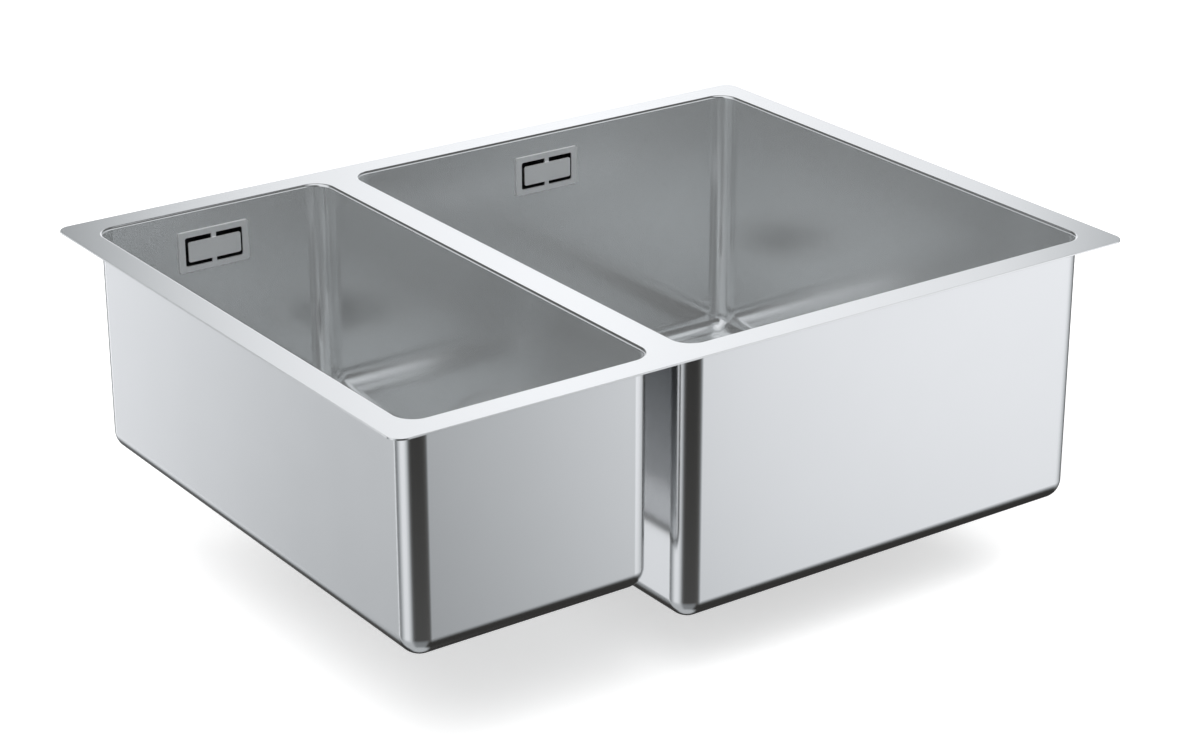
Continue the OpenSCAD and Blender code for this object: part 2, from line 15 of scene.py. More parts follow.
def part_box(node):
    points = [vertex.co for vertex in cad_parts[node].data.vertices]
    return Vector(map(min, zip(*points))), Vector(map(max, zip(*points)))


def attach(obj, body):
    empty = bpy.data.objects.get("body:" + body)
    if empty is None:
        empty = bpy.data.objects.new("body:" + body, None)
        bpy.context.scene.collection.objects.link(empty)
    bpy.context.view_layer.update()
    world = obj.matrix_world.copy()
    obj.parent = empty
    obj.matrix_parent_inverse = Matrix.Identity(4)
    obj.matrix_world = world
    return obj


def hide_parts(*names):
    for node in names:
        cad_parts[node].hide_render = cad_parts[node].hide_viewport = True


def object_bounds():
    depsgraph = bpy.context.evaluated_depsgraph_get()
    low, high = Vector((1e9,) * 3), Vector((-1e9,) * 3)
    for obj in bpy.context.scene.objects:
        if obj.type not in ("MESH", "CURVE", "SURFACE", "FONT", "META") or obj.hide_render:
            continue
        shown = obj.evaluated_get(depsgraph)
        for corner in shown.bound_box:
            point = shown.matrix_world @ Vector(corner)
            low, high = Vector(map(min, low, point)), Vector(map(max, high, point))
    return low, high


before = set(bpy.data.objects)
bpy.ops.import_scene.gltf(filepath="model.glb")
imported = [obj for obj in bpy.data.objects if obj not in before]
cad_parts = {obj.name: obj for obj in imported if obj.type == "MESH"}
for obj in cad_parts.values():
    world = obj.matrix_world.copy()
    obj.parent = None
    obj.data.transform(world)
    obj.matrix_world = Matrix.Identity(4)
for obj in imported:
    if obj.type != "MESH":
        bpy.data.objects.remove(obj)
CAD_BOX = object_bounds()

bl_info = {
    "name": "Undermount Sink",
    "version": (1, 0, 0),
    "blender": (4, 5, 0),
    "location": "3D View > Sidebar > Sink",
    "description": "Makes the pieces, finishes and stage of a two-bowl steel sink",
    "category": "Object",
}

MM = 0.001
SIDES = ("large", "small")


def property_maker(kind, **limits):
    """A function that makes such a property from its name, description and default."""

    def make(name, description, value, **more):
        return kind(name=name, description=description, default=value, **limits, **more)

    return make


metres = property_maker(FloatProperty, min=0.0, unit="LENGTH", subtype="DISTANCE", precision=5)
point = property_maker(FloatVectorProperty, size=3, subtype="TRANSLATION", unit="LENGTH")
angle_size = property_maker(FloatProperty, subtype="ANGLE", unit="ROTATION")
number = property_maker(FloatProperty)
share = property_maker(FloatProperty, min=0.0, max=1.0)
tint = property_maker(FloatVectorProperty, size=3, min=0.0, max=1.0, subtype="COLOR")
whole_number = property_maker(IntProperty)


def length(name, description, mm):
    """A length property whose default is given in millimetres."""
    return metres(name, description, mm * MM)


class SinkBowlSizes(bpy.types.PropertyGroup):
    """Sizes of the pressed bowls and the rim plate"""

    sheet: length("Bowl sheet", "Thickness of the bowl's sheet", 1.0)
    corner: length("Corner radius", "Inside radius of the upright corners", 14.0)
    floor_curve: length("Floor radius", "Inside radius between wall and floor", 14.0)
    lip: length("Lip radius", "Radius of the lip that curls out to the rim", 2.0)
    rim_sheet: length("Rim sheet", "Thickness of the rim plate", 1.2)
    rim_corner: length("Rim corner", "Radius of the rim plate's corners", 10.0)
    rim_edge: length("Rim edge", "Rounding of the rim plate's outer edges", 0.15)
    rim_lean: length("Rim lean", "How far the rim's cut edge leans out below", 0.1)
    seat: length("Seat radius", "Radius of the pressed seat for the strainer", 58.5)
    seat_depth: length("Seat depth", "Depth of the pressed seat", 2.5)
    drain: length("Drain radius", "Radius of the hole in the floor", 45.0)
    overflow_drop: length("Overflow drop", "From the rim to the overflow's middle", 30.5)
    overflow_width: length("Overflow width", "Width of the hole behind the cover", 52.0)
    overflow_height: length("Overflow height", "Height of the hole behind the cover", 25.8)
    overflow_corner: length("Overflow corner", "Corner radius of that hole", 1.5)
    corner_steps: whole_number("Corner steps", "Faces round a quarter turn", 24, min=4)
    turn_steps: whole_number("Turn steps", "Faces round a full turn", 96, min=16)


class SinkHoseSizes(bpy.types.PropertyGroup):
    """Sizes of the overflow hoses and their clips"""

    crest: length("Crest radius", "Radius of the hose over its ribs", 10.04)
    valley: length("Valley radius", "Radius of the hose between its ribs", 9.0)
    wall: length("Hose wall", "Thickness of the hose's wall", 1.55)
    pitch: length("Rib pitch", "Distance from rib to rib", 5.0)
    cuff: length("Cuff length", "Length of the plain part at each end", 21.0)
    bend: length("Bend radius", "Radius of the bend under the bowl", 31.25)
    behind: length("Behind the bowl", "From the bowl's inside to the hose's axis", 12.5)
    start_gap: length("Start drop", "From the overflow's middle to the hose's top", 18.9)
    end_reach: length("End reach", "From the drain's axis to the hose's end", 59.5)
    branch_drop: length("Branch drop", "From the bowl's floor to the branch", 17.25)
    band: length("Band thickness", "Thickness of a clip's band", 1.0)
    band_width: length("Band width", "Width of a clip's band", 8.0)
    clip_inset: length("Clip inset", "From the hose's end to a clip's middle", 8.0)


class SinkFinishes(bpy.types.PropertyGroup):
    """Colours and gloss of the sink's finishes"""

    satin: tint("Satin steel", "Colour of the bowls' insides", (0.83, 0.842, 0.845))
    satin_gloss: share("Satin roughness", "Roughness of the bowls' insides", 0.15)
    bright: tint("Bright steel", "Colour of the bowls' outsides", (0.87, 0.875, 0.88))
    bright_gloss: share("Bright roughness", "Roughness of the outsides", 0.18)
    mill_gloss: share("Mill roughness", "Roughness of the undersides", 0.45)
    rim: tint("Rim steel", "Colour of the rim plate", (0.875, 0.88, 0.88))
    rim_gloss: share("Rim roughness", "Roughness of the rim plate", 0.16)
    trim: tint("Trim steel", "Colour of dishes and baskets", (0.90, 0.91, 0.915))
    trim_gloss: share("Trim roughness", "Roughness of the trim", 0.22)
    cover: tint("Cover steel", "Colour of the overflow covers", (0.95, 0.96, 0.965))
    cover_gloss: share("Cover roughness", "Roughness of the covers", 0.30)
    zinc: tint("Zinc", "Colour of screws and clips", (0.72, 0.74, 0.76))
    black: tint("Black plastic", "Colour of housings and wastes", (0.030, 0.031, 0.033))
    hose: tint("Hose plastic", "Colour of the ribbed hoses", (0.33, 0.34, 0.35))
    rubber: tint("Rubber", "Colour of seals and washers", (0.022, 0.022, 0.024))
    foam: tint("Foam", "Colour of the foam gaskets", (0.050, 0.050, 0.053))
    pad: tint("Sound pad", "Colour of the pads under the floors", (0.10, 0.105, 0.11))


class SinkStageSizes(bpy.types.PropertyGroup):
    """Camera, lamps and floor"""

    camera_place: point("Camera place", "Where the camera stands", (-1.125, -1.5964, 0.7102))
    heading: angle_size("Heading", "Turn of the view from +Y towards +X", 0.61807)
    pitch: angle_size("Pitch", "How far the view looks down", 0.39599)
    lens: number("Lens", "Focal length in millimetres", 89.48, min=1.0)
    key_power: number("Key lamp", "Power of the large lamp in watts", 34.0, min=0.0)
    fill_power: number("Fill lamp", "Power of the second lamp in watts", 16.0, min=0.0)
    room_level: share("Room level", "Brightness of the room's soft light", 0.55)
    floor_lift: share("Floor lift", "Light that the camera sees on the floor", 0.55)


# ---------------------------------------------------------------- node graphs


class Signal:
    """A number in a node tree, with the arithmetic that the trees below use."""

    def __init__(self, graph, socket):
        self.graph = graph
        self.socket = socket

    def __add__(self, other):
        return self.graph.math("ADD", self, other)

    __radd__ = __add__

    def __sub__(self, other):
        return self.graph.math("SUBTRACT", self, other)

    def __rsub__(self, other):
        return self.graph.math("SUBTRACT", other, self)

    def __mul__(self, other):
        return self.graph.math("MULTIPLY", self, other)

    __rmul__ = __mul__

    def __truediv__(self, other):
        return self.graph.math("DIVIDE", self, other)

    def __rtruediv__(self, other):
        return self.graph.math("DIVIDE", other, self)


class Graph:
    """Adds nodes to a tree. node() sets a node's options, then fills its sockets."""

    def __init__(self, tree):
        self.tree = tree

    def node(self, kind, *values, out=0, options=None, **named):
        """Fills the first sockets with values and others by name. Returns one output."""
        made = self.tree.nodes.new(kind)
        for key, value in (options or {}).items():
            if key == "stops":
                self._stops(made.color_ramp, value)
            else:
                setattr(made, key, value)
        for index, value in enumerate(values):
            self.fill(made.inputs[index], value)
        for key, value in named.items():
            self.fill(made.inputs[key.replace("_", " ")], value)
        return Signal(self, made.outputs[out]) if made.outputs else made

    def _stops(self, ramp, stops):
        ramp.interpolation = "LINEAR"
        while len(ramp.elements) < len(stops):
            ramp.elements.new(1.0)
        for element, (place, level) in zip(ramp.elements, stops):
            element.position = place
            element.color = (level, level, level, 1.0)

    def fill(self, socket, value):
        """Links a Signal to a socket, or sets the socket's own value."""
        if isinstance(value, Signal):
            self.tree.links.new(value.socket, socket)
        elif value is not None:
            if socket.type == "RGBA" and len(value) == 3:
                value = (*value, 1.0)
            socket.default_value = value

    def math(self, operation, *values):
        return self.node("ShaderNodeMath", *values, options={"operation": operation})

    def range(self, value, low, high):
        """0 below low, 1 above high and a smooth step between them."""
        step = {"interpolation_type": "SMOOTHSTEP"}
        return self.node("ShaderNodeMapRange", value, low, high, 0.0, 1.0, options=step)

    def mix(self, factor, a, b):
        """Colour a where factor is 0 and b where it is 1."""
        numbers_and_vectors = [None] * 5
        sockets = (factor, *numbers_and_vectors, a, b)
        return self.node("ShaderNodeMix", *sockets, out=2, options={"data_type": "RGBA"})

    def noise(self, place, scale, detail=2.0, roughness=0.5):
        shape = {"Scale": scale, "Detail": detail, "Roughness": roughness}
        return self.node("ShaderNodeTexNoise", Vector=place, **shape)

    def bump(self, height, strength, distance):
        size = {"Strength": strength, "Distance": distance}
        return self.node("ShaderNodeBump", Height=height, **size)


def shader_graph(owner):
    """The emptied shader tree of a material or world."""
    owner.use_nodes = True
    owner.node_tree.nodes.clear()
    return Graph(owner.node_tree)


def new_material(name, build):
    """Makes a material and lets build(graph, place) return the sockets of its shader."""
    material = bpy.data.materials.get(name)
    if material:
        return material
    material = bpy.data.materials.new(name)
    graph = shader_graph(material)
    place = graph.node("ShaderNodeTexCoord", out=3)
    surface = graph.node("ShaderNodeBsdfPrincipled", **build(graph, place))
    graph.node("ShaderNodeOutputMaterial", surface)
    return material


def stretched(graph, place, scale):
    """Object coordinates with each axis scaled, for grain that runs one way."""
    return graph.node("ShaderNodeMapping", place, Scale=scale)


def steel(name, colour, gloss, grain, spread, cloud=0.03, metal=1.0):
    """Stainless steel: grain is the bump's strength, spread the change in roughness."""

    def build(graph, place):
        fine = graph.noise(place, 2600.0, 3.0, 0.6)
        patches = graph.noise(place, 22.0, 2.0)
        scratch = graph.noise(stretched(graph, place, (90.0, 2400.0, 2400.0)), 1.0, 2.0)
        darker = tuple(c * (1.0 - cloud) for c in colour)
        return {
            "Base Color": graph.mix(patches, darker, colour),
            "Metallic": metal,
            "Roughness": gloss + (fine - 0.5) * spread + (patches - 0.5) * (0.4 * spread),
            "Normal": graph.bump(fine * 0.6 + scratch * 0.4, grain, 0.00004),
        }

    return new_material(name, build)


def moulded(name, colour, gloss, grain, size=900.0, coat=0.0):
    """Moulded plastic or rubber with a fine skin."""

    def build(graph, place):
        skin = graph.noise(place, size, 3.0, 0.6)
        wear = graph.noise(place, 30.0, 3.0)
        worn = tuple(min(1.0, c * 1.25 + 0.004) for c in colour)
        return {
            "Base Color": graph.mix(wear, colour, worn),
            "Roughness": gloss + (wear - 0.5) * 0.16 + (skin - 0.5) * 0.1,
            "Coat Weight": coat,
            "Normal": graph.bump(skin, grain, 0.0002),
        }

    return new_material(name, build)


def finishes(scene):
    """Every finish of the sink by name."""
    f = scene.sink_finishes
    return {
        "satin": steel("satin_bowl_steel", f.satin, f.satin_gloss, 0.10, 0.05, metal=0.85),
        "bright": steel("bright_bowl_steel", f.bright, f.bright_gloss, 0.02, 0.02),
        "mill": steel("mill_finish_steel", f.bright, f.mill_gloss, 0.16, 0.08, metal=0.6),
        "rim": steel("polished_rim_steel", f.rim, f.rim_gloss, 0.04, 0.03),
        "trim": steel("satin_trim_steel", f.trim, f.trim_gloss, 0.10, 0.05, metal=0.7),
        "cover": steel("satin_cover_steel", f.cover, f.cover_gloss, 0.10, 0.05, metal=0.75),
        "zinc": steel("bright_zinc", f.zinc, 0.3, 0.12, 0.10, 0.12),
        "black": moulded("black_moulded_plastic", f.black, 0.42, 0.25),
        "knob": moulded("black_knob_plastic", f.black, 0.26, 0.06, coat=0.3),
        "hose": moulded("grey_hose_plastic", f.hose, 0.38, 0.10),
        "rubber": moulded("black_rubber", f.rubber, 0.62, 0.35, 1400.0),
        "foam": moulded("closed_cell_foam", f.foam, 0.85, 0.8, 2200.0),
        "pad": moulded("sound_pad_rubber", f.pad, 0.72, 0.7, 1200.0),
    }


# ---------------------------------------------------------------- mesh tools


class Sheet:
    """Collects a closed mesh from rings of points. Points in one place are one vertex."""

    def __init__(self):
        self.bm = bmesh.new()
        self.known = {}

    def vert(self, point):
        key = tuple(round(c, 8) for c in point)
        if key not in self.known:
            self.known[key] = self.bm.verts.new(point)
        return self.known[key]

    def ring(self, points):
        return [self.vert(p) for p in points]

    def face(self, corners, finish):
        loop = [v for i, v in enumerate(corners) if v is not corners[i - 1]]
        if len(set(loop)) == len(loop) > 2 and not self.bm.faces.get(loop):
            self.bm.faces.new(loop).material_index = finish

    def band(self, a, b, finish=0, skip=()):
        """Faces from ring a to ring b, apart from the steps in skip."""
        for j in range(len(a)):
            if j not in skip:
                k = (j + 1) % len(a)
                self.face([a[j], a[k], b[k], b[j]], finish)

    def fill(self, loops, finish=0):
        """A flat face that runs between an outer loop and the loops inside it."""
        edges = []
        for loop in loops:
            single = [v for i, v in enumerate(loop) if v is not loop[i - 1]]
            for i, v in enumerate(single):
                pair = (single[i - 1], v)
                edges.append(self.bm.edges.get(pair) or self.bm.edges.new(pair))
        made = bmesh.ops.triangle_fill(
            self.bm, edges=edges, use_beauty=True, use_dissolve=False
        )
        for item in made["geom"]:
            if isinstance(item, bmesh.types.BMFace):
                item.material_index = finish

    def piece(self, name, materials):
        bmesh.ops.recalc_face_normals(self.bm, faces=self.bm.faces)
        return from_bmesh(name, self.bm, materials)


def new_object(name, data):
    made = bpy.data.objects.new(name, data)
    bpy.context.scene.collection.objects.link(made)
    return made


def from_bmesh(name, bm, materials):
    """Makes an object of a bmesh, smooth but for its sharp edges."""
    mesh = bpy.data.meshes.new(name)
    bm.to_mesh(mesh)
    bm.free()
    for material in materials:
        mesh.materials.append(material)
    made = new_object(name, mesh)
    smooth(made)
    return made


def smooth(piece, sharp=40.0):
    for polygon in piece.data.polygons:
        polygon.use_smooth = True
    piece.data.set_sharp_from_angle(angle=math.radians(sharp))


def settle(piece):
    """Applies a piece's modifiers, so that it is a plain mesh."""
    graph = bpy.context.evaluated_depsgraph_get()
    graph.update()
    mesh = bpy.data.meshes.new_from_object(
        piece.evaluated_get(graph), preserve_all_data_layers=True, depsgraph=graph
    )
    mesh.name = piece.name
    piece.modifiers.clear()
    piece.data = mesh
    return piece


def modified(piece, kind, **options):
    """Applies one modifier with these options."""
    modifier = piece.modifiers.new(kind, kind)
    for key, value in options.items():
        setattr(modifier, key, value)
    return settle(piece)


def even_shading(piece, sharp=40.0):
    """Large flat faces keep their own normals, and the roundings take the change."""
    smooth(piece, sharp)
    return modified(piece, "WEIGHTED_NORMAL", keep_sharp=True, weight=100)


def discard(*pieces):
    for piece in pieces:
        bpy.data.objects.remove(piece)


def carve(piece, others, operation="DIFFERENCE"):
    """Cuts the other meshes from a piece, or joins them to it, and discards them."""
    for other in others:
        cut = piece.modifiers.new("carve", "BOOLEAN")
        cut.operation = operation
        cut.solver = "EXACT"
        cut.object = other
    settle(piece)
    discard(*others)
    return piece


@contextmanager
def editing(piece):
    """A piece's mesh as a bmesh, which is written back at the end."""
    bm = bmesh.new()
    bm.from_mesh(piece.data)
    yield bm
    bm.to_mesh(piece.data)
    bm.free()


def bevelled(piece, width, steps=3):
    """Rounds every sharp edge of a piece."""
    sharp = {"limit_method": "ANGLE", "angle_limit": math.radians(35.0)}
    size = {"width": width, "segments": steps, "miter_outer": "MITER_ARC"}
    return modified(piece, "BEVEL", **sharp, **size)


def arc(centre, radius, start, end, steps):
    """Points on an arc in a plane, from one angle to another in degrees."""
    cx, cy = centre
    return [
        (cx + radius * math.cos(a), cy + radius * math.sin(a))
        for a in (math.radians(start + (end - start) * i / steps) for i in range(steps + 1))
    ]


def rounded(outline, steps=4):
    """A closed outline of (x, y, radius) corners as points, each corner rounded."""
    points = []
    count = len(outline)
    for i, (x, y, radius) in enumerate(outline):
        here = Vector((x, y))
        if radius <= 0.0:
            points.append(tuple(here))
            continue
        before = (Vector(outline[i - 1][:2]) - here).normalized()
        after = (Vector(outline[(i + 1) % count][:2]) - here).normalized()
        half = before.angle(after) / 2.0
        reach = radius / math.tan(half)
        centre = here + (before + after).normalized() * (radius / math.sin(half))
        first = here + before * reach - centre
        last = here + after * reach - centre
        turn = first.angle_signed(last)
        for step in range(steps + 1):
            a = -turn * step / steps
            c, s = math.cos(a), math.sin(a)
            points.append(
                (centre.x + first.x * c - first.y * s, centre.y + first.x * s + first.y * c)
            )
    return points


def circles(sheet, profile, turns, x=0.0, y=0.0):
    """Rings round an upright axis, one for each (radius, height) of a profile."""
    angles = [2.0 * math.pi * j / turns for j in range(turns)]
    return [
        sheet.ring([(x + r * math.cos(a), y + r * math.sin(a), z) for a in angles])
        for r, z in profile
    ]


def turned(outline, material, turns, steps=4):
    """A closed body turned round the Z axis from (radius, height, rounding) in mm."""
    sheet = Sheet()
    profile = rounded([(r * MM, z * MM, b * MM) for r, z, b in outline], steps)
    rings = circles(sheet, profile, turns)
    for i, ring in enumerate(rings):
        sheet.band(ring, rings[(i + 1) % len(rings)])
    return sheet.piece("turned", [material])


def rod(radius, low, high, material, turns, foot=0.0, top=0.0, steps=4):
    """A round body on the Z axis in mm, with its foot and top edges rounded."""
    outline = [(0, low, 0), (radius, low, foot), (radius, high, top), (0, high, 0)]
    return turned(outline, material, turns, steps)


def collar(inner, outer, low, high, foot, top, material, turns):
    """A ring about the Z axis in mm, with its foot and top edges rounded."""
    outline = [(inner, low, foot), (outer, low, foot), (outer, high, top), (inner, high, top)]
    return turned(outline, material, turns)


def block(low, high, material, rounding=0.0):
    """A box between two corners in mm, with rounded edges."""
    bm = bmesh.new()
    bmesh.ops.create_cube(bm, size=1.0)
    for v in bm.verts:
        for k in range(3):
            v.co[k] = (low[k] if v.co[k] < 0 else high[k]) * MM
    made = from_bmesh("block", bm, [material])
    return bevelled(made, rounding * MM) if rounding else made


# Lays what stands on the Z axis along +Y
FORWARD = Matrix.Rotation(math.radians(-90.0), 4, "X")


def moved(piece, place, turn=Matrix()):
    """Turns and moves a piece's mesh, so that its object stays at the origin."""
    piece.data.transform(Matrix.Translation(place) @ turn)
    return piece


def joined(name, pieces):
    """One object of several, without union of their walls."""
    bm = bmesh.new()
    for piece in pieces:
        bm.from_mesh(piece.data)
    made = from_bmesh(name, bm, list(pieces[0].data.materials))
    discard(*pieces)
    return made


def dress(piece, node, body):
    """A finished piece rides on its body and stands for its CAD node."""
    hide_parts(node)
    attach(piece, body)
    return piece


# ---------------------------------------------------------------- repeated shapes

SOCKET_KINDS = {int: "Int", float: "Float", bpy.types.Material: "Material"}


def geometry_tree(build, inputs):
    """The tree named after build, made of what build(graph, given) returns if it is new."""
    tree = bpy.data.node_groups.get(build.__name__)
    if tree:
        return tree
    tree = bpy.data.node_groups.new(build.__name__, "GeometryNodeTree")
    new_socket = tree.interface.new_socket
    new_socket("Geometry", in_out="INPUT", socket_type="NodeSocketGeometry")
    for name, value in inputs.items():
        kind = SOCKET_KINDS[type(value)]
        new_socket(name, in_out="INPUT", socket_type=f"NodeSocket{kind}")
    new_socket("Geometry", in_out="OUTPUT", socket_type="NodeSocketGeometry")
    graph = Graph(tree)
    entry = graph.node("NodeGroupInput").socket.node
    given = {s.name: Signal(graph, s) for s in entry.outputs if s.name}
    real = graph.node("GeometryNodeRealizeInstances", build(graph, given))
    final = graph.node("GeometryNodeSetMaterial", Geometry=real, Material=given["material"])
    graph.node("NodeGroupOutput", final)
    return tree


def ring_of_copies(graph, given):
    """Copies of one shape, spread evenly round the Z axis."""
    points = graph.node("GeometryNodeMeshLine", Count=given["count"], Offset=(0.0, 0.0, 0.0))
    index = graph.node("GeometryNodeInputIndex")
    angle = given["turn"] + index * (2.0 * math.pi) / given["count"]
    turn = graph.node("ShaderNodeCombineXYZ", 0.0, 0.0, angle)
    shape = {"Points": points, "Instance": given["Geometry"], "Rotation": turn}
    return graph.node("GeometryNodeInstanceOnPoints", **shape)


def swept_circle(graph, line, steps, **radius_and_ends):
    """A round tube along a curve."""
    circle = graph.node("GeometryNodeCurvePrimitiveCircle", Resolution=steps, Radius=1.0)
    ends = {"Curve": line, "Profile_Curve": circle, **radius_and_ends}
    return graph.node("GeometryNodeCurveToMesh", **ends)


def ribbed_hose(graph, given):
    """A tube along a line of points: plain cuffs at its ends and ribs between them."""
    cuff, pitch, valley = given["cuff"], given["pitch"], given["valley"]
    line = graph.node("GeometryNodeMeshToCurve", given["Geometry"])
    by_length = {"mode": "LENGTH"}
    step = pitch / 9.0
    fine = graph.node("GeometryNodeResampleCurve", Curve=line, Length=step, options=by_length)
    along = graph.node("GeometryNodeSplineParameter", out=1)
    total = graph.node("GeometryNodeSplineLength")
    ribbed = total - 2.0 * cuff
    ribs = graph.math("ROUND", ribbed / pitch)
    phase = (along - cuff) / ribbed * ribs * (2.0 * math.pi)
    wave = 0.5 - 0.5 * graph.math("COSINE", phase)
    full = graph.range(wave, 0.12, 0.88)
    past_start = graph.math("GREATER_THAN", along, cuff)
    inside = past_start * graph.math("LESS_THAN", along, total - cuff)
    radius = valley + (given["crest"] - valley) * full * inside
    return swept_circle(graph, fine, 28, Scale=radius)


def outlet_thread(graph, given):
    """A thread's ridge wound round the Z axis, upwards from height 0."""
    size = {"Start_Radius": given["radius"], "End_Radius": given["radius"]}
    turns = {"Resolution": 64, "Rotations": given["turns"], "Height": given["height"]}
    helix = graph.node("GeometryNodeCurveSpiral", **size, **turns)
    return swept_circle(graph, helix, 6, Scale=given["ridge"], Fill_Caps=True)


def grown(piece, build, **inputs):
    """Runs a geometry tree on a piece and keeps the result as a plain mesh."""
    modifier = piece.modifiers.new(build.__name__, "NODES")
    tree = modifier.node_group = geometry_tree(build, inputs)
    for item in tree.interface.items_tree:
        if item.in_out == "INPUT" and item.name in inputs:
            modifier[item.identifier] = inputs[item.name]
    with editing(settle(piece)) as bm:
        bmesh.ops.remove_doubles(bm, verts=bm.verts, dist=1e-7)
        bmesh.ops.recalc_face_normals(bm, faces=bm.faces)
    return piece


def round_the_drain(one, count, material, turn=0.0):
    """Copies of a shape that was made for the +X side, round the Z axis."""
    return grown(one, ring_of_copies, count=count, turn=turn, material=material)


# ---------------------------------------------------------------- the two bowls


class Bowl:
    """Where one bowl is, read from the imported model, and the sizes that it shares."""

    def __init__(self, side, scene):
        self.side = side
        self.sizes = sizes = scene.sink_bowls
        self.hose = scene.sink_hoses
        low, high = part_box(f"{side}_bowl")
        self.x = (low.x + high.x) / 2.0
        self.half_x = (high.x - low.x) / 2.0 - sizes.lip - sizes.corner
        self.half_y = (high.y - low.y) / 2.0 - sizes.lip - sizes.corner
        self.inside_y = high.y - sizes.lip
        self.floor = low.z + sizes.seat_depth + sizes.sheet
        near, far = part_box(f"{side}_strainer_dish")
        self.drain = ((near.x + far.x) / 2.0, (near.y + far.y) / 2.0, self.floor)

    def path(self, offset, height):
        """Points round the bowl, offset outwards from the axes of its corners."""
        steps = self.sizes.corner_steps
        return corner_path(self.half_x, self.half_y, offset, height, steps, self.x)


def corner_path(half_x, half_y, offset, height, steps, x=0.0):
    points = []
    for k, (sx, sy) in enumerate(((1, 1), (-1, 1), (-1, -1), (1, -1))):
        for j in range(steps + 1):
            a = math.radians(90.0 * k + 90.0 * j / steps)
            u, v = offset * math.cos(a), offset * math.sin(a)
            points.append((x + sx * half_x + u, sy * half_y + v, height))
    return points


def bowls(scene):
    return [Bowl(side, scene) for side in SIDES]


def rim_plate(scene, kit):
    """The flat frame with rounded outer edges and an opening for each bowl."""
    s = scene.sink_bowls
    steps = s.corner_steps
    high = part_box("rim_plate")[1]
    half_x, half_y = high.x - s.rim_corner, high.y - s.rim_corner
    sheet = Sheet()
    inset = -1.5 * MM
    top_corner = [(inset, 0.0, 0.0), (-s.rim_lean, 0.0, s.rim_edge)]
    low_corner = [(0.0, -s.rim_sheet, s.rim_edge), (inset, -s.rim_sheet, 0.0)]
    profile = rounded(top_corner + low_corner)
    rings = [
        sheet.ring(corner_path(half_x, half_y, s.rim_corner + o, z, steps))
        for o, z in profile
    ]
    for a, b in zip(rings, rings[1:]):
        sheet.band(a, b)
    tops, bases = [rings[0]], [rings[-1]]
    for bowl in bowls(scene):
        offset = s.corner + s.lip
        upper = sheet.ring(bowl.path(offset, 0.0))
        lower = sheet.ring(bowl.path(offset, -s.rim_sheet))
        sheet.band(upper, lower)
        tops.append(upper)
        bases.append(lower)
    sheet.fill(tops)
    sheet.fill(bases)
    plate = even_shading(sheet.piece("rim_plate_steel", [kit["rim"]]))
    return dress(plate, "rim_plate", "sink")


INSIDE, OUTSIDE, LIP, UNDER = 0, 1, 2, 3


def bowl_shell(kit, bowl):
    """One pressed bowl, satin inside and bright outside with a dull underside."""
    s = bowl.sizes
    steps = s.corner_steps
    curve = min(s.floor_curve, s.corner)
    thin = s.lip - s.sheet
    wall_foot = bowl.floor + curve
    lip_in = arc((s.corner + s.lip, -s.lip), s.lip, 90, 180, 8)
    foot_in = arc((s.corner - curve, wall_foot), curve, 0, -90, 16)
    foot_out = arc((s.corner - curve, wall_foot), curve + s.sheet, -90, 0, 16)
    lip_out = arc((s.corner + s.lip, -s.lip), thin, 180, 90, 8)
    sheet = Sheet()

    def swept(profile):
        return [sheet.ring(bowl.path(o, z)) for o, z in profile]

    def walls(rings, wall, above, below):
        for i, (a, b) in enumerate(zip(rings, rings[1:])):
            sheet.band(a, b, above if i < wall else below, (rear,) if i == wall else ())

    rear = steps
    inner, outer = swept(lip_in + foot_in), swept(foot_out + lip_out)
    walls(inner, len(lip_in) - 1, LIP, INSIDE)
    walls(outer, len(foot_out) - 1, OUTSIDE, OUTSIDE)
    sheet.band(outer[-1], inner[0], LIP)

    # Overflow hole through the rear wall
    cut_w, cut_h = s.overflow_width / 2.0, s.overflow_height / 2.0
    r = s.overflow_corner
    hole = rounded(
        [(cut_w, cut_h, r), (-cut_w, cut_h, r), (-cut_w, -cut_h, r), (cut_w, -cut_h, r)]
    )
    edges = []
    for y, upper, lower in (
        (bowl.inside_y, inner[len(lip_in) - 1], inner[len(lip_in)]),
        (bowl.inside_y + s.sheet, outer[len(foot_out)], outer[len(foot_out) - 1]),
    ):
        wall = [upper[rear], upper[rear + 1], lower[rear + 1], lower[rear]]
        ring = sheet.ring([(bowl.x + u, y, v - s.overflow_drop) for u, v in hole])
        sheet.fill([wall, ring], INSIDE if y == bowl.inside_y else OUTSIDE)
        edges.append(ring)
    sheet.band(edges[0], edges[1], INSIDE)

    # Pressed seat with the drain hole
    x, y, z = bowl.drain
    press = 0.9 * MM
    seat, low = s.seat, z - s.seat_depth
    under = z - s.sheet
    above = arc((seat + press, z - press), press, 90, 180, 5) + arc(
        (seat - press, low + press), press, 0, -90, 5
    )
    edge = [(s.drain, low), (s.drain, low - s.sheet)]
    below = arc(
        (seat + s.sheet - 2 * press, low - s.sheet + 2 * press), 2 * press, -90, 0, 5
    ) + [(seat + s.sheet, under)]
    rings = circles(sheet, above + edge + below, s.turn_steps, x, y)
    for i, (a, b) in enumerate(zip(rings, rings[1:])):
        sheet.band(a, b, INSIDE if i < len(above) else UNDER)
    sheet.fill([inner[-1], rings[0]], INSIDE)
    sheet.fill([outer[0], rings[-1]], UNDER)

    steels = [kit["satin"], kit["bright"], kit["rim"], kit["mill"]]
    shell = even_shading(sheet.piece(f"{bowl.side}_bowl_steel", steels))
    return dress(shell, f"{bowl.side}_bowl", "sink")


# ---------------------------------------------------------------- overflow


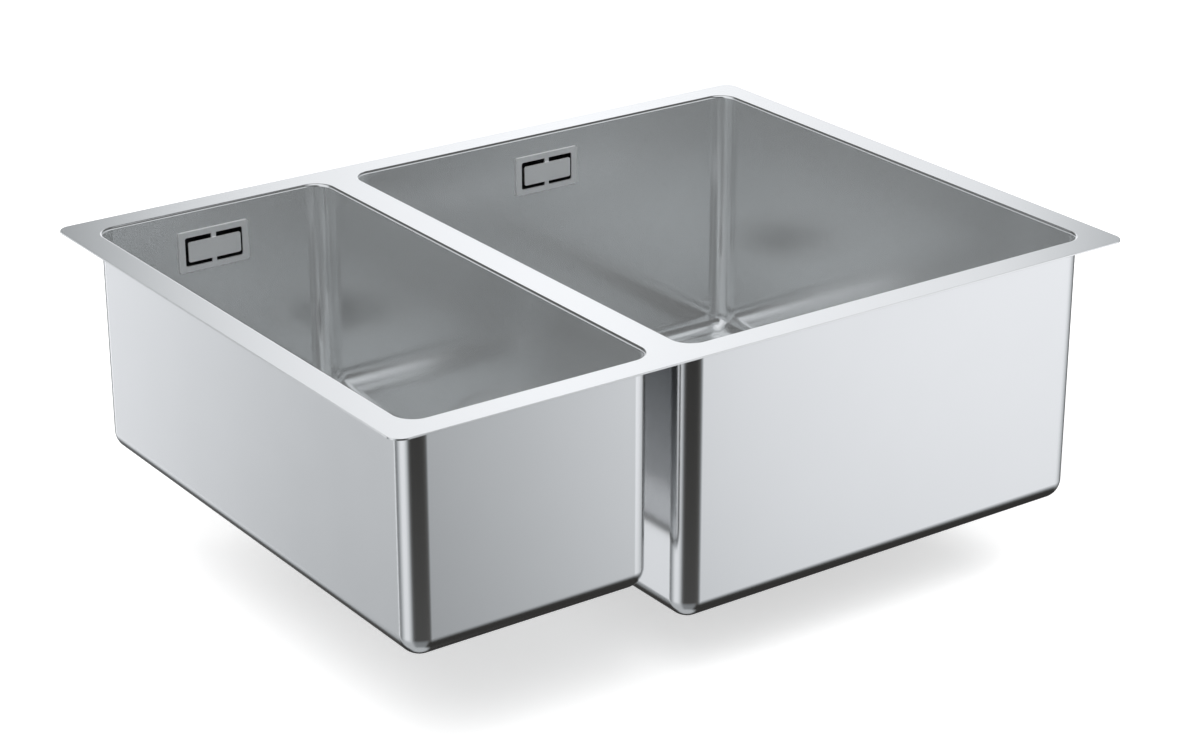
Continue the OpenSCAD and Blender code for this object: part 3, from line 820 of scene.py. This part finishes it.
def soft_piece(kit, bowl, part, kind, finish, width, steps=3):
    """Stands a CAD node's own shape in for it, with edges rounded by width in mm."""
    node = f"{bowl.side}_{part}"
    made = new_object(f"{node}_{kind}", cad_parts[node].data.copy())
    made.data.materials.clear()
    made.data.materials.append(kit[finish])
    flat = math.radians(0.3)
    with editing(made) as bm:
        bmesh.ops.remove_doubles(bm, verts=bm.verts, dist=1e-6)
        bmesh.ops.dissolve_limit(bm, angle_limit=flat, verts=bm.verts, edges=bm.edges)
    bevelled(made, width * MM, steps)
    return dress(even_shading(made), node, "sink")


def overflow(kit, bowl):
    """Cover frame, bare centre plate, screw, foam gasket and moulded housing."""
    for part in ("overflow_cover", "overflow_plate"):
        soft_piece(kit, bowl, part, "steel", "cover", 0.18)
    soft_piece(kit, bowl, "overflow_screw", "zinc", "zinc", 0.08, 2)
    soft_piece(kit, bowl, "overflow_gasket", "foam", "foam", 0.5)
    soft_piece(kit, bowl, "overflow_housing", "moulded", "black", 0.5)


def hose_line(bowl):
    """The hose's axis: down behind the bowl, a quarter turn, then forward to the waste."""
    h = bowl.hose
    y = bowl.inside_y + h.behind
    top = -bowl.sizes.overflow_drop - h.start_gap
    base = bowl.floor - h.branch_drop
    turn = arc((y - h.bend, base + h.bend), h.bend, 0, -90, 36)
    end = (bowl.x, bowl.drain[1] + h.end_reach, base)
    return [(bowl.x, y, top)] + [(bowl.x, a, b) for a, b in turn] + [end]


def overflow_hose(kit, bowl):
    """Ribbed hose with its bore, from the overflow housing to the waste's branch."""
    h = bowl.hose
    points = hose_line(bowl)
    bm = bmesh.new()
    verts = [bm.verts.new(p) for p in points]
    for a, b in zip(verts, verts[1:]):
        bm.edges.new((a, b))
    node = f"{bowl.side}_overflow_hose"
    hose = from_bmesh(f"{node}_ribbed", bm, [kit["hose"]])
    sizes = {"crest": h.crest, "valley": h.valley, "pitch": h.pitch, "cuff": h.cuff}
    grown(hose, ribbed_hose, material=kit["hose"], **sizes)
    outward(hose, Vector(points[0]), Vector(points[1]))
    modified(hose, "SOLIDIFY", thickness=h.wall, offset=-1.0, use_rim=True)
    smooth(hose, 60.0)
    return dress(hose, node, "sink")


def outward(tube, start, end):
    """Turns an open tube's faces away from its axis, which its first stretch gives."""
    axis = (end - start).normalized()
    near = min(tube.data.polygons, key=lambda p: (p.center - start).length)
    from_axis = near.center - start
    from_axis -= axis * from_axis.dot(axis)
    if near.normal.dot(from_axis) < 0.0:
        tube.data.flip_normals()


def clip(hose, zinc):
    """A worm-drive clip round the Z axis, its screw housing on the +X side. Sizes in mm."""
    inner = hose.valley / MM + 0.1
    outer = inner + hose.band / MM
    width = hose.band_width / MM
    outline = [(inner, 0, 0.2), (outer, 0, 0.3), (outer, width, 0.3), (inner, width, 0.2)]
    band = turned(outline, zinc, 72, steps=2)
    notch = block((outer - 0.4, -0.45, 1.6), (outer + 0.5, 0.45, width - 1.6), zinc)
    carve(band, [round_the_drain(notch, 36, zinc, math.radians(5.0))])
    top = inner + hose.band / MM + 4.0
    box = block((inner + 0.6, -3.4, 0.3), (top, 2.6, width - 0.3), zinc, 0.5)
    head = rod(3.1, 0, 2.4, zinc, 6, 0.3, 0.5, steps=2)
    carve(head, [block((-4, -0.4, 1.4), (4, 0.4, 3), zinc)])
    shank = rod(2.2, -8, 1, zinc, 24, 0.4, steps=2)
    end = ((top - 3.2) * MM, 2.6 * MM, width / 2.0 * MM)
    moved(head, end, FORWARD)
    moved(shank, end, FORWARD)
    return carve(band, [box, head, shank], "UNION")


def hose_clips(kit, bowl):
    """The clip under the overflow housing and the clip on the waste's branch."""
    h = bowl.hose
    line = hose_line(bowl)
    half = h.band_width / 2.0
    upper, lower = clip(h, kit["zinc"]), clip(h, kit["zinc"])
    x, y, z = line[0]
    moved(upper, (x, y, z - h.clip_inset - half))
    x, y, z = line[-1]
    moved(lower, (x, y + h.clip_inset - half, z), FORWARD)
    node = f"{bowl.side}_hose_clips"
    pair = even_shading(joined(f"{node}_zinc", [upper, lower]))
    return dress(pair, node, "sink")


# ---------------------------------------------------------------- waste


def at_drain(bowl, part, kind, piece, body="sink", sharp=40.0):
    """Moves a piece from the Z axis to its bowl's drain, to stand for a part there."""
    node = f"{bowl.side}_{part}"
    piece.name = f"{node}_{kind}"
    moved(piece, bowl.drain)
    return dress(even_shading(piece, sharp), node, body)


def hole_rows(trim, hole, low, high, *rows):
    """Rings of round holes about the Z axis, from (radius, count), as cutting shapes."""
    made = []
    for radius, count in rows:
        one = moved(rod(hole, low, high, trim, 20), (radius * MM, 0.0, 0.0))
        made.append(round_the_drain(one, count, trim))
    return made


def strainer_dish(kit, bowl):
    """Pressed dish with two rings of holes in its floor."""
    outline = [
        (57, -0.5, 0.4), (57, -1.5, 0.4), (43.5, -1.5, 0.8), (43.5, -25.5, 3.0),
        (3.2, -25.5, 0.1), (3.2, -24.5, 0.3), (42.5, -24.5, 2.0), (42.5, -0.5, 1.2),
    ]
    dish = turned(outline, kit["trim"], bowl.sizes.turn_steps)
    carve(dish, hole_rows(kit["trim"], 2.0, -27.0, -23.0, (14.0, 8), (21.5, 12)))
    at_drain(bowl, "strainer_dish", "steel", dish)


def seals(kit, bowl):
    """Gasket under the dish's flange and rubber washer under the floor."""
    turns = bowl.sizes.turn_steps
    for part, low, high, outer, soft in (
        ("flange_gasket", -2.5, -1.5, 56.5, 0.3), ("lower_washer", -6.5, -3.5, 58.0, 0.7)
    ):
        ring = collar(46, outer, low, high, soft, soft, kit["rubber"], turns)
        at_drain(bowl, part, "rubber", ring)


def clamp_screw(kit, bowl):
    """Slotted screw that draws dish and waste body together."""
    outline = [
        (0, -35.5, 0), (3, -35.5, 0.6), (3, -24.5, 0), (6.5, -24.5, 0.3), (6.5, -21.9, 1.2),
        (0, -21.9, 0),
    ]
    screw = turned(outline, kit["zinc"], 48)
    carve(screw, [block((-8, -0.9, -23.3), (8, 0.9, -21), kit["zinc"])])
    at_drain(bowl, "clamp_screw", "zinc", screw)


def waste_body(kit, bowl):
    """Moulded waste: flange with ribs, tapered cup, threaded outlet, branch and clamp boss."""
    turns = bowl.sizes.turn_steps
    black = kit["black"]
    outline = [
        (58, -6.5, 0.4), (58, -9.5, 0.8), (52, -9.5, 0.8), (52, -25, 1.5), (22.9, -38, 1.0),
        (22.9, -51, 0.6), (20.5, -51, 0.5), (20.5, -38, 1.0), (49.5, -25, 1.5),
        (49.5, -6.5, 0.4),
    ]
    body = turned(outline, black, turns)
    axis = (0.0, 0.0, -bowl.hose.branch_drop)
    branch = moved(rod(6.61, 50.5, 76.5, black, 40, top=0.5), axis, FORWARD)
    bore = moved(rod(5.0, 45, 80, black, 40), axis, FORWARD)
    gusset = block((51.0, -0.7, -16.0), (57.0, 0.7, -9.0), black)
    for v in gusset.data.vertices:
        if v.co.x > 54.0 * MM and v.co.z < -12.0 * MM:
            v.co.x = 52.2 * MM
    ribs = round_the_drain(gusset, 15, black, math.radians(6.0))
    thread = from_bmesh("thread", bmesh.new(), [black])
    lead = 2.2
    sizes = {"radius": 23.0 * MM, "ridge": 0.85 * MM, "turns": 10.0 / lead, "height": 10.0 * MM}
    grown(thread, outlet_thread, material=black, **sizes)
    moved(thread, (0.0, 0.0, -50.0 * MM))
    arm = block((3.5, -1.25, -37.5), (51.0, 1.25, -29.5), black)
    arms = round_the_drain(arm, 3, black, math.pi / 2)
    outline = [(0, -20, 0), (50.5, -20, 0), (50.5, -25, 0), (21.5, -38.2, 0), (0, -38.2, 0)]
    carve(arms, [turned(outline, black, turns)], "INTERSECT")
    boss = rod(7, -37.5, -25.5, black, 40, 0.5, 0.3)
    carve(body, [branch, ribs, thread, arms, boss], "UNION")
    carve(body, [bore, rod(3.05, -35.5, -20, black, 32)])
    at_drain(bowl, "waste_body", "moulded", body, sharp=38.0)


def basket(kit, bowl):
    """Lift-out basket with slotted side and pierced floor, its seal and its knob."""
    trim = kit["trim"]
    turns = bowl.sizes.turn_steps
    body = f"{bowl.side}_basket_set"
    outline = [
        (2.55, -20.7, 0), (39, -20.7, 2.6), (39, -2.3, 0.5), (41.5, -2.3, 0.3),
        (41.5, -1.5, 0.35), (38.2, -1.5, 0.8), (38.2, -19.9, 1.8), (2.55, -19.9, 0),
    ]
    cup = turned(outline, trim, turns)
    slot = bevelled_ends(block((36.0, -1.5, -16.7), (41.0, 1.5, -5.5), trim), 1.45 * MM)
    slots = round_the_drain(slot, 16, trim, math.pi / 16)
    rows = hole_rows(trim, 1.6, -22.0, -19.0, (11.5, 8), (17.5, 12), (23.5, 16))
    carve(cup, [slots, *rows])
    at_drain(bowl, "basket", "steel", cup, body)

    seal = collar(28, 34, -24.2, -20.7, 0.9, 0.5, kit["rubber"], turns)
    at_drain(bowl, "basket_seal", "rubber", seal, body)

    outline = [
        (0, -20.7, 0), (2.5, -20.7, 0.2), (2.5, -19.9, 0), (4, -19.9, 0.3), (4, 2, 1.2),
        (9, 2, 0.9), (11, 4, 1.0), (11, 6, 1.0), (8.5, 8, 1.4), (0, 8, 0),
    ]
    knob = turned(outline, kit["knob"], 64, steps=5)
    at_drain(bowl, "basket_knob", "moulded", knob, body)


def bevelled_ends(slot, width):
    """Rounds the two ends of a radial slot, which are its edges along X."""
    with editing(slot) as bm:
        along = [e for e in bm.edges if abs(e.verts[0].co.x - e.verts[1].co.x) > 1e-4]
        rounding = {"offset": width, "segments": 4, "profile": 0.5}
        bmesh.ops.bevel(bm, geom=along, affect="EDGES", **rounding)
    return slot


def sound_pads(kit, bowl):
    """Damping pads under a floor."""
    soft_piece(kit, bowl, "sound_pads", "rubber", "pad", 0.6)


# ---------------------------------------------------------------- stage


def around(graph, place, stops):
    """Brightness round the horizon from (degrees, level) stops. 0 is -Y and 90 is +X."""
    ramp = [(0.5 + degrees / 360.0, level) for degrees, level in stops]
    return graph.node("ShaderNodeValToRGB", place, options={"stops": ramp})


# Bands of light from below upwards: where each one starts and is full, then its stops.
# The horizon is at 0 degrees and straight up is 90.
ROOM = (
    # Light near the feet of the walls: dark to the right and behind
    (-75.0, -62.0, (
        (-180, 0.035), (-150, 0.035), (-138, 0.5), (-75, 0.5), (-55, 0.24), (6, 0.24),
        (24, 0.035), (180, 0.035),
    )),
    # Light below the horizon: bright to the right and behind on the left, dark in front
    (-46.0, -20.0, (
        (-180, 0.25), (-174, 0.3), (-167, 1.16), (-157, 1.18), (-151.5, 0.63), (-148.5, 0.2),
        (-144.5, 1.2), (-141, 1.2), (-136, 0.2), (-126, 0.18), (-115, 0.52), (-101, 0.92),
        (-84, 0.92), (-72, 0.62), (-60, 0.08), (-50, 0.02), (3, 0.02), (20, 0.08), (31, 0.42),
        (34, 0.6), (38, 0.97), (42, 1.05), (52, 0.98), (63, 0.9), (83, 0.62), (104, 0.16),
        (128, 0.16), (138, 0.5), (146, 0.68), (158, 0.25), (180, 0.25),
    )),
    # Light at the horizon: a pale wall all round but for the dark side in front
    (-17.0, -9.0, (
        (-180, 0.7), (-145, 1.1), (-110, 0.9), (-60, 0.6), (-52, 0.14), (-8, 0.14),
        (10, 0.5), (32, 1.05), (60, 1.00), (95, 0.75), (120, 0.5), (147, 1.15), (180, 0.7),
    )),
    # Light above it: the wide panel behind, dark corners in front and behind
    (9.0, 14.0, (
        (-180, 0.15), (-158, 0.18), (-151, 0.44), (-141, 0.44), (-134, 0.2), (-128, 0.15),
        (-112, 0.9), (-60, 0.8), (-52, 0.1), (-15, 0.1), (5, 0.4), (22, 0.75), (60, 0.7),
        (95, 0.45), (120, 0.32), (133, 0.37), (136, 0.91), (140, 1.00), (145, 1.17),
        (150, 1.02), (153, 0.8), (156, 0.3), (166, 0.15), (180, 0.15),
    )),
    # Light high up: a bright panel on the left and dark all round the rest
    (27.0, 31.0, (
        (-180, 0.1), (-146, 0.1), (-132, 0.85), (-62, 0.9), (-52, 0.1), (24, 0.1),
        (44, 0.17), (115, 0.17), (135, 0.1), (180, 0.1),
    )),
    # Light above that: a pale ceiling with a dark gap on the right
    (44.0, 51.0, (
        (-180, 0.5), (-150, 0.5), (-130, 0.9), (-60, 0.9), (-45, 0.5), (14, 0.5),
        (28, 0.1), (130, 0.1), (142, 0.5), (180, 0.5),
    )),
)


def studio_room(scene):
    """White to the camera. Steel reflects soft panels with dark gaps between them."""
    settings = scene.sink_stage
    world = bpy.data.worlds.new("studio_room")
    graph = shader_graph(world)
    way = graph.node("ShaderNodeTexCoord")
    split = graph.node("ShaderNodeSeparateXYZ", way).socket.node
    x, y, z = (Signal(graph, s) for s in split.outputs)
    heading = graph.math("ARCTAN2", x, 0.0 - y)
    place = heading / (2.0 * math.pi) + 0.5
    rise = graph.math("ARCSINE", z) * (180.0 / math.pi)
    level = 0.5
    parts = [(start, end, around(graph, place, stops)) for start, end, stops in ROOM]
    for start, end, part in (*parts, (60.0, 70.0, 0.95)):
        share_of = graph.range(rise, start, end)
        level = level * (1.0 - share_of) + part * share_of
    camera_ray = graph.node("ShaderNodeLightPath", out="Is Camera Ray")
    glossy_ray = graph.node("ShaderNodeLightPath", out="Is Glossy Ray")
    plain = 1.0 - camera_ray - glossy_ray
    seen = camera_ray + glossy_ray * level + plain * settings.room_level
    cool = graph.mix(level, (0.905, 0.962, 1.0), (0.955, 0.970, 1.0))
    shade = graph.mix(graph.range(level, 0.03, 0.20), (1.0, 0.97, 0.93), cool)
    colour = graph.mix(glossy_ray, (1.0, 1.0, 1.0), shade)
    sky = graph.node("ShaderNodeBackground", colour, seen)
    graph.node("ShaderNodeOutputWorld", sky)
    scene.world = world


def stage_floor(scene):
    """Pale floor: white to the camera, with the sink's soft shadow."""
    settings = scene.sink_stage
    material = bpy.data.materials.new("stage_floor_white")
    graph = shader_graph(material)
    camera_ray = graph.node("ShaderNodeLightPath", out="Is Camera Ray")
    under = graph.node("ShaderNodeNewGeometry", out=6)
    matt = graph.node("ShaderNodeBsdfDiffuse", (0.9, 0.9, 0.9))
    glow = graph.node("ShaderNodeEmission", (1.0, 1.0, 1.0), settings.floor_lift)
    lifted = graph.node("ShaderNodeAddShader", matt, glow)
    seen = graph.node("ShaderNodeMixShader", camera_ray, matt, lifted)
    clear = graph.node("ShaderNodeBsdfTransparent")
    both = graph.node("ShaderNodeMixShader", under, seen, clear)
    graph.node("ShaderNodeOutputMaterial", both)

    bm = bmesh.new()
    bmesh.ops.create_grid(bm, x_segments=1, y_segments=1, size=9.0)
    floor = from_bmesh("stage_floor", bm, [material])
    moved(floor, (0.0, 0.0, CAD_BOX[0].z))
    floor.visible_glossy = False


def lamp(name, place, aim, size, power):
    """A soft lamp that lights matt surfaces. Steel shows the room instead."""
    light = bpy.data.lights.new(name, "AREA")
    light.shape = "SQUARE"
    light.size = size
    light.energy = power
    made = new_object(name, light)
    made.location = place
    made.rotation_euler = (Vector(aim) - Vector(place)).to_track_quat("-Z", "Y").to_euler()
    made.visible_glossy = False
    made.visible_camera = False


def camera(scene):
    settings = scene.sink_stage
    data = bpy.data.cameras.new("photo_camera")
    data.lens = settings.lens
    data.sensor_width = 36.0
    data.sensor_fit = "HORIZONTAL"
    made = new_object("photo_camera", data)
    made.location = settings.camera_place
    made.rotation_euler = (math.pi / 2 - settings.pitch, 0.0, -settings.heading)
    scene.camera = made


# ---------------------------------------------------------------- operators


class SINK_OT_stage(bpy.types.Operator):
    """Make the camera, floor, lamps and studio room"""

    bl_idname = "sink.stage"
    bl_label = "Stage"

    def execute(self, context):
        scene = context.scene
        settings = scene.sink_stage
        scene.view_settings.view_transform = "Standard"
        scene.cycles.glossy_bounces = 8
        camera(scene)
        studio_room(scene)
        stage_floor(scene)
        centre = (0.0, 0.0, -0.12)
        lamp("key_lamp", (-1.3, -1.1, 2.2), centre, 1.8, settings.key_power)
        lamp("fill_lamp", (1.6, 0.6, 2.0), centre, 1.6, settings.fill_power)
        return {"FINISHED"}


def each_bowl(context, *makers):
    """Makes the same pieces for both bowls."""
    kit = finishes(context.scene)
    for bowl in bowls(context.scene):
        for make in makers:
            make(kit, bowl)
    return {"FINISHED"}


class SINK_OT_rim(bpy.types.Operator):
    """Make the rim plate"""

    bl_idname = "sink.rim"
    bl_label = "Rim plate"

    def execute(self, context):
        rim_plate(context.scene, finishes(context.scene))
        return {"FINISHED"}


class SINK_OT_bowls(bpy.types.Operator):
    """Make both pressed bowls"""

    bl_idname = "sink.bowls"
    bl_label = "Bowls"

    def execute(self, context):
        return each_bowl(context, bowl_shell)


class SINK_OT_overflows(bpy.types.Operator):
    """Make the overflow covers, plates, screws, gaskets and housings"""

    bl_idname = "sink.overflows"
    bl_label = "Overflows"

    def execute(self, context):
        return each_bowl(context, overflow)


class SINK_OT_hoses(bpy.types.Operator):
    """Make the ribbed hoses"""

    bl_idname = "sink.hoses"
    bl_label = "Hoses"

    def execute(self, context):
        return each_bowl(context, overflow_hose)


class SINK_OT_clips(bpy.types.Operator):
    """Make the hose clips"""

    bl_idname = "sink.clips"
    bl_label = "Hose clips"

    def execute(self, context):
        return each_bowl(context, hose_clips)


class SINK_OT_wastes(bpy.types.Operator):
    """Make the strainer dishes, seals, waste bodies and clamp screws"""

    bl_idname = "sink.wastes"
    bl_label = "Wastes"

    def execute(self, context):
        return each_bowl(context, strainer_dish, seals, waste_body, clamp_screw)


class SINK_OT_baskets(bpy.types.Operator):
    """Make the lift-out baskets with their seals and knobs"""

    bl_idname = "sink.baskets"
    bl_label = "Baskets"

    def execute(self, context):
        return each_bowl(context, basket)


class SINK_OT_pads(bpy.types.Operator):
    """Make the sound pads under the floors"""

    bl_idname = "sink.pads"
    bl_label = "Sound pads"

    def execute(self, context):
        return each_bowl(context, sound_pads)


OPERATORS = (
    SINK_OT_stage,
    SINK_OT_rim,
    SINK_OT_bowls,
    SINK_OT_overflows,
    SINK_OT_hoses,
    SINK_OT_clips,
    SINK_OT_wastes,
    SINK_OT_baskets,
    SINK_OT_pads,
)
GROUPS = {
    "sink_bowls": SinkBowlSizes,
    "sink_hoses": SinkHoseSizes,
    "sink_finishes": SinkFinishes,
    "sink_stage": SinkStageSizes,
}


class SINK_PT_panel(bpy.types.Panel):
    """Lists the sink's pieces and sizes"""

    bl_idname = "SINK_PT_panel"
    bl_label = "Undermount Sink"
    bl_space_type = "VIEW_3D"
    bl_region_type = "UI"
    bl_category = "Sink"

    def draw(self, context):
        for operator in OPERATORS:
            self.layout.operator(operator.bl_idname)
        for name, group in GROUPS.items():
            box = self.layout.box()
            for key in group.__annotations__:
                box.prop(getattr(context.scene, name), key)


CLASSES = (*GROUPS.values(), *OPERATORS, SINK_PT_panel)


def register():
    for kind in CLASSES:
        bpy.utils.register_class(kind)
    for name, group in GROUPS.items():
        setattr(bpy.types.Scene, name, PointerProperty(type=group))


def unregister():
    for name in GROUPS:
        delattr(bpy.types.Scene, name)
    for kind in reversed(CLASSES):
        bpy.utils.unregister_class(kind)


def main():
    register()
    for operator in OPERATORS:
        _, name = operator.bl_idname.split(".")
        getattr(bpy.ops.sink, name)()


if __name__ == "__main__":
    main()
